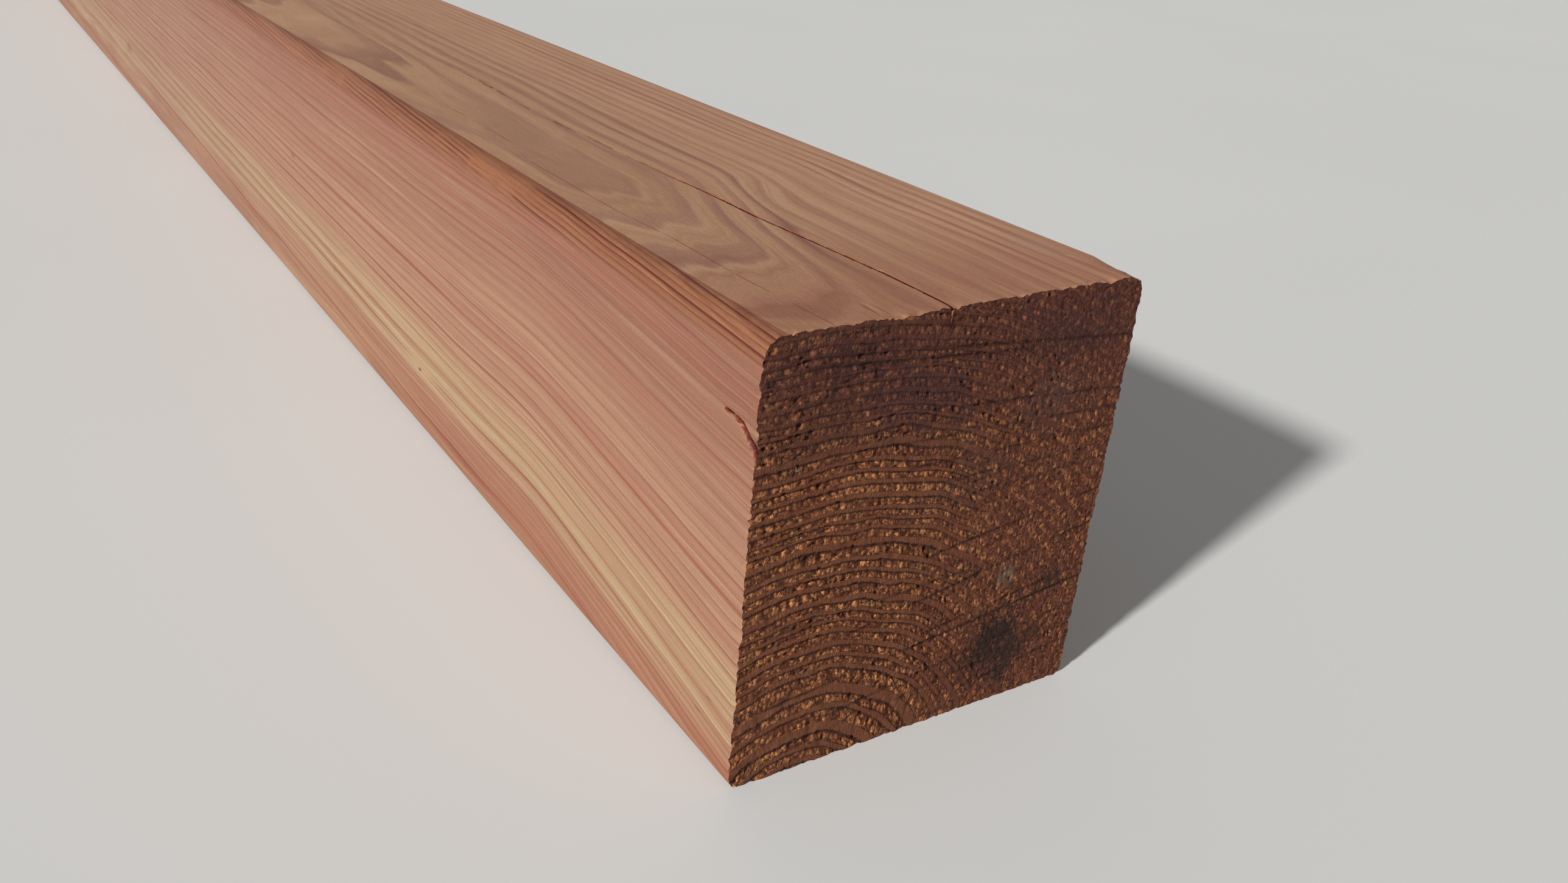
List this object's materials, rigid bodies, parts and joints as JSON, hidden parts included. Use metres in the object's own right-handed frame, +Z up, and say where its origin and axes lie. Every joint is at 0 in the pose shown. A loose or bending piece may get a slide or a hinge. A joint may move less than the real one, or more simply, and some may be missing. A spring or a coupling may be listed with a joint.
{
  "type": "squared timber post",
  "caption": "Square-edged planed softwood post or beam, solid, with eased edges, a rough sawn end and a drying check.",
  "frame": {"origin": "centre of the bounding box's bottom face, which is the face that the timber lies on", "axes": "+X along the length towards the rough sawn near end, +Y across the width, +Z up"},
  "size_m": [1.8, 0.09, 0.1],
  "materials": {
    "softwood": "planed, unfinished"
  },
  "bodies": {
    "root": {"squared_timber": "softwood"}
  },
  "joints": []
}
